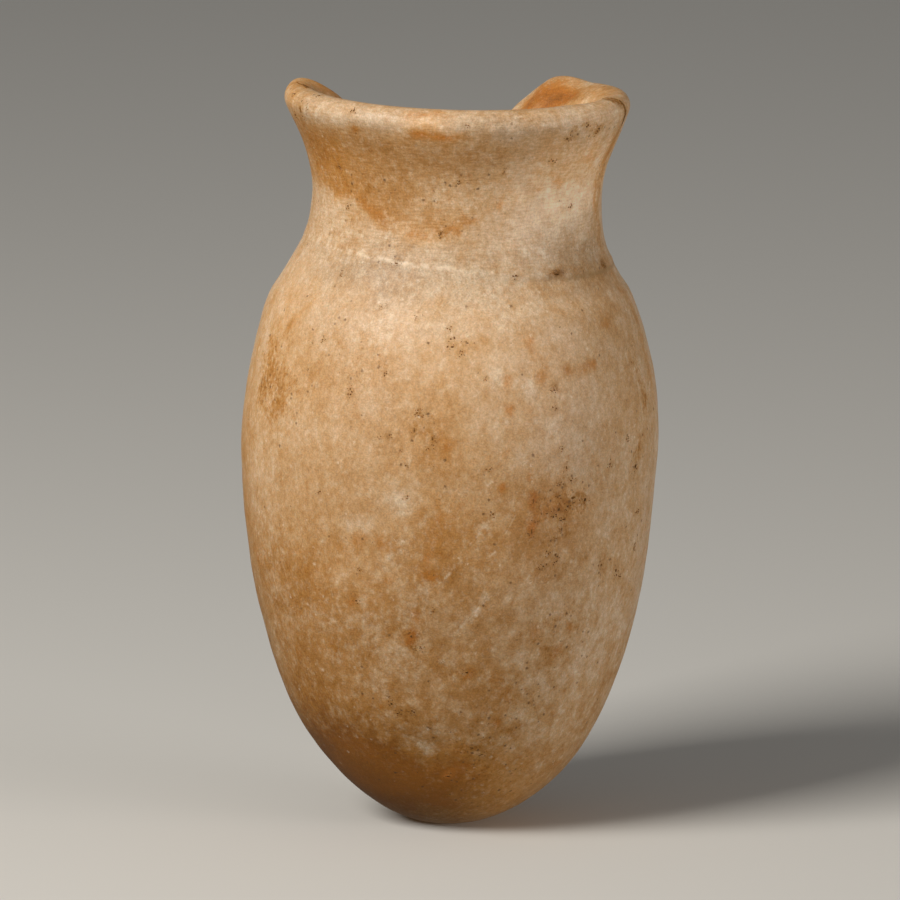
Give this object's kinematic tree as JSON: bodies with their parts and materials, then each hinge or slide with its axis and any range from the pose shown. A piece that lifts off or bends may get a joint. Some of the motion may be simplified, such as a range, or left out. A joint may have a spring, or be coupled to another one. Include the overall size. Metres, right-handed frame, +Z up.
{
  "type": "miniature alabaster jar",
  "caption": "Small hollow stone jar with an egg-shaped body, a flared neck above a ledge, a rounded lip and a rim broken away at the back.",
  "frame": {"origin": "middle of the small flat foot the jar stands on", "axes": "+Z up along the jar's axis, -Y the front, +X the jar's right in its front view; the break in the rim is at the back, +Y"},
  "size_m": [0.0418, 0.0418, 0.0754],
  "materials": {
    "alabaster": "worn soft polish, warm cream to brown, with stains and dirt"
  },
  "bodies": {
    "root": {"jar": "alabaster"}
  },
  "joints": []
}
